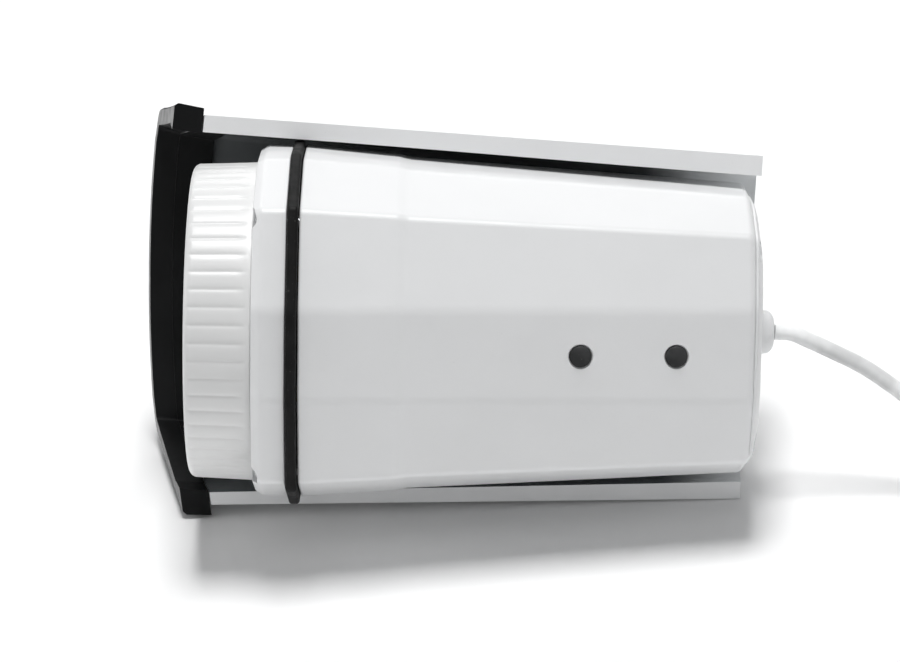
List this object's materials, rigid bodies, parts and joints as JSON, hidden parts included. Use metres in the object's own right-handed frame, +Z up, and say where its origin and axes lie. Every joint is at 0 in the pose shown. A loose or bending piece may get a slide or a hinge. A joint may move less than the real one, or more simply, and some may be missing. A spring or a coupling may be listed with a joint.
{
  "type": "bullet security camera",
  "caption": "Bullet security camera with a twelve-sided tapered housing, ribbed screw ring, sliding sunshield with a black visor and a fixed cable, lying on its side.",
  "frame": {"origin": "centre of the bounding box of the camera without its cable, at the level of the surface it lies on", "axes": "+X runs from the window end towards the cable end, -Y faces the side with the two bracket holes, +Z is up from the surface"},
  "size_m": [0.3023, 0.1337, 0.1172],
  "materials": {
    "housing_paint": "white powder coat over die-cast aluminium, satin",
    "ring_plastic": "white moulded plastic, semi-gloss",
    "shield_paint": "white powder coat over aluminium sheet, satin",
    "black_plastic": "black moulded plastic, fine satin grain",
    "lens_metal": "black anodised",
    "black_rubber": "black silicone rubber, soft sheen",
    "screw_steel": "zinc-plated steel",
    "brass": "nickel-free turned brass",
    "circuit_board": "green solder mask on glass-fibre board",
    "chip": "black moulded package",
    "lamp_lens": "clear epoxy lens",
    "window_glass": "clear tempered glass",
    "lens_glass": "coated lens glass, violet reflection",
    "filter_glass": "infrared-cut coated glass",
    "clear_glass": "plain glass",
    "coil_winding": "enamelled copper wire on a bobbin",
    "cable_sheath": "white PVC sheath, satin"
  },
  "bodies": {
    "camera_body": {"board_connector": "cable_sheath", "bracket_hole_plug_1": "black_rubber", "bracket_hole_plug_2": "black_rubber", "cable_coil": "cable_sheath", "cable_gland": "housing_paint", "cable_run": "cable_sheath", "cable_tail": "cable_sheath", "chassis_plate": "screw_steel", "chassis_screw_1": "screw_steel", "chassis_screw_2": "screw_steel", "collar_gasket": "black_rubber", "collar_screw_1": "screw_steel", "collar_screw_2": "screw_steel", "collar_screw_3": "screw_steel", "collar_screw_4": "screw_steel", "connector_boot": "black_rubber", "front_collar": "housing_paint", "gland_nut": "brass", "gland_seal": "black_rubber", "image_sensor": "chip", "infrared_lamp_1": "lamp_lens", "infrared_lamp_2": "lamp_lens", "infrared_lamp_3": "lamp_lens", "infrared_lamp_4": "lamp_lens", "inner_lead": "cable_sheath", "lamp_board": "circuit_board", "lens_holder": "black_plastic", "lens_shroud": "black_rubber", "light_sensor": "lamp_lens", "main_board": "circuit_board", "main_board_post_1": "brass", "main_board_post_2": "brass", "main_housing": "housing_paint", "network_connector": "black_plastic", "processor": "chip", "rear_cover": "housing_paint", "rear_cover_screw_1": "screw_steel", "rear_cover_screw_2": "screw_steel", "rear_cover_screw_3": "screw_steel", "rear_cover_screw_4": "screw_steel", "rear_gasket": "black_rubber", "sensor_board": "circuit_board", "sensor_board_post_1": "brass", "sensor_board_post_2": "brass", "sensor_board_post_3": "brass", "sensor_board_post_4": "brass", "shield_screw_1": "screw_steel", "shield_screw_2": "screw_steel", "switch_coil": "coil_winding"},
    "sunshield": {"shield_panel": "shield_paint", "shield_bezel": "black_plastic"},
    "window": {"window_glass": "window_glass", "window_gasket": "black_rubber"},
    "front_ring": {"front_ring": "ring_plastic"},
    "lens": {"lens_barrel": "lens_metal", "lens_front_element": "lens_glass"},
    "filter_carriage": {"filter_carriage": "black_plastic", "infrared_cut_filter": "filter_glass", "clear_filter": "clear_glass"},
    "switch_rotor": {"switch_rotor": "screw_steel"}
  },
  "joints": [
    {"name": "shield_slide", "type": "slide", "parent": "camera_body", "child": "sunshield", "axis": [0.9956, -0.0669, -0.0661], "range_m": [-0.01, 0.015]},
    {"name": "window_advance", "type": "slide", "parent": "camera_body", "child": "window", "axis": [-0.9968, 0.0094, 0.0799], "range_m": [0, 0.0045]},
    {"name": "front_ring_turn", "type": "hinge", "parent": "window", "child": "front_ring", "pos_m": [-0.06251, -0.00844, 0.05977], "axis": [-0.9968, 0.0094, 0.0799], "range_deg": [0, 1080]},
    {"name": "lens_focus", "type": "hinge", "parent": "camera_body", "child": "lens", "pos_m": [-0.04855, -0.00857, 0.05866], "axis": [-0.9968, 0.0094, 0.0799], "range_deg": [-180, 180]},
    {"name": "filter_slide", "type": "slide", "parent": "camera_body", "child": "filter_carriage", "axis": [0.0799, 0.2315, 0.9696], "range_m": [0, 0.006]},
    {"name": "switch_rotor_turn", "type": "hinge", "parent": "camera_body", "child": "switch_rotor", "pos_m": [-0.02654, -0.01782, 0.05905], "axis": [0.9968, -0.0094, -0.0799], "range_deg": [0, 73.7]}
  ],
  "couplings": [
    {"joint": "window_advance", "follows": "front_ring_turn", "m_per_rad": 0.0002387},
    {"joint": "switch_rotor_turn", "follows": "filter_slide", "rad_per_m": 214.38}
  ]
}
